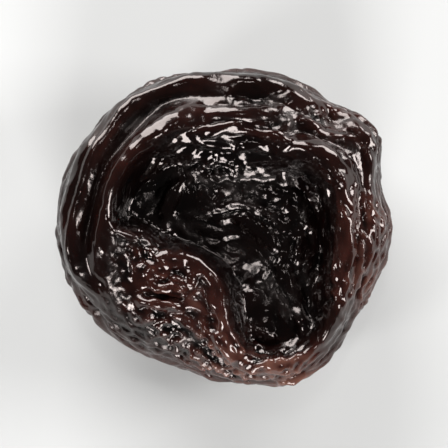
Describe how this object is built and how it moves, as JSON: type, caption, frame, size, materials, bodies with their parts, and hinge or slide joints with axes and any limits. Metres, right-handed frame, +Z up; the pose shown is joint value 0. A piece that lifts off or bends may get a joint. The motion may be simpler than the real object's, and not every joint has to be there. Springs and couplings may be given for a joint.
{
  "type": "prune",
  "caption": "Dried plum: a squat wrinkled fruit with a rolled rim round a sunken, folded middle, lying on a small flat spot.",
  "frame": {"origin": "centre of the bounding box at its base, on the surface that the prune lies on", "axes": "+X along the prune's length, +Y across it, +Z up, out of the sunken side"},
  "size_m": [0.037, 0.035, 0.0175],
  "materials": {
    "prune_skin": "glossy, sticky, wrinkled black-brown skin with a red-brown glow on thin ridges"
  },
  "bodies": {
    "root": {"prune": "prune_skin"}
  },
  "joints": []
}
